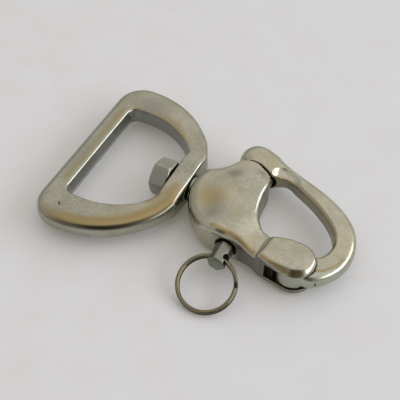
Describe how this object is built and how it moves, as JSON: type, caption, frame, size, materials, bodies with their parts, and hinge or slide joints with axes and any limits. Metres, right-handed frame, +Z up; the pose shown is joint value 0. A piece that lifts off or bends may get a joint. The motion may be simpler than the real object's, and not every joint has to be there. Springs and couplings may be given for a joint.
{
  "type": "swivel snap shackle",
  "caption": "Swivel snap shackle with a wide bail for webbing, a hinged gate and a spring plunger pulled by a split ring.",
  "frame": {"origin": "centre of the part's footprint, at the plane it lies on", "axes": "+X along the load line from the swivel bail to the gate's crown, +Y away from the split ring, +Z up"},
  "size_m": [0.094, 0.0689, 0.0124],
  "materials": {
    "cast_steel": "tumbled satin",
    "turned_steel": "satin",
    "pale_steel": "bright, pale blue-grey",
    "spring_wire": "dull, darkened"
  },
  "bodies": {
    "body": {"body": "cast_steel", "swivel_bolt": "turned_steel", "hinge_pin": "turned_steel", "plunger_spring": "spring_wire"},
    "bail": {"bail": "cast_steel"},
    "gate": {"gate": "cast_steel"},
    "plunger": {"plunger": "turned_steel", "pull_eye": "pale_steel"},
    "split_ring": {"split_ring": "spring_wire"}
  },
  "joints": [
    {"name": "bail_swivel", "type": "hinge", "parent": "body", "child": "bail", "pos_m": [-0.00683, 0.00237, 0.0062], "axis": [1, 0, 0], "continuous": true},
    {"name": "gate_swing", "type": "hinge", "parent": "body", "child": "gate", "pos_m": [0.03277, -0.01123, 0.0062], "axis": [0, 0, -1], "range_deg": [0, 130]},
    {"name": "plunger_pull", "type": "slide", "parent": "body", "child": "plunger", "axis": [0, -1, 0], "range_m": [0, 0.0045], "stiffness_N_per_m": 1500, "deforming": ["plunger_spring"]},
    {"name": "ring_swing", "type": "hinge", "parent": "plunger", "child": "split_ring", "pos_m": [0.01238, -0.01783, 0.0062], "axis": [1, 0, 0], "range_deg": [-115, 80]}
  ]
}
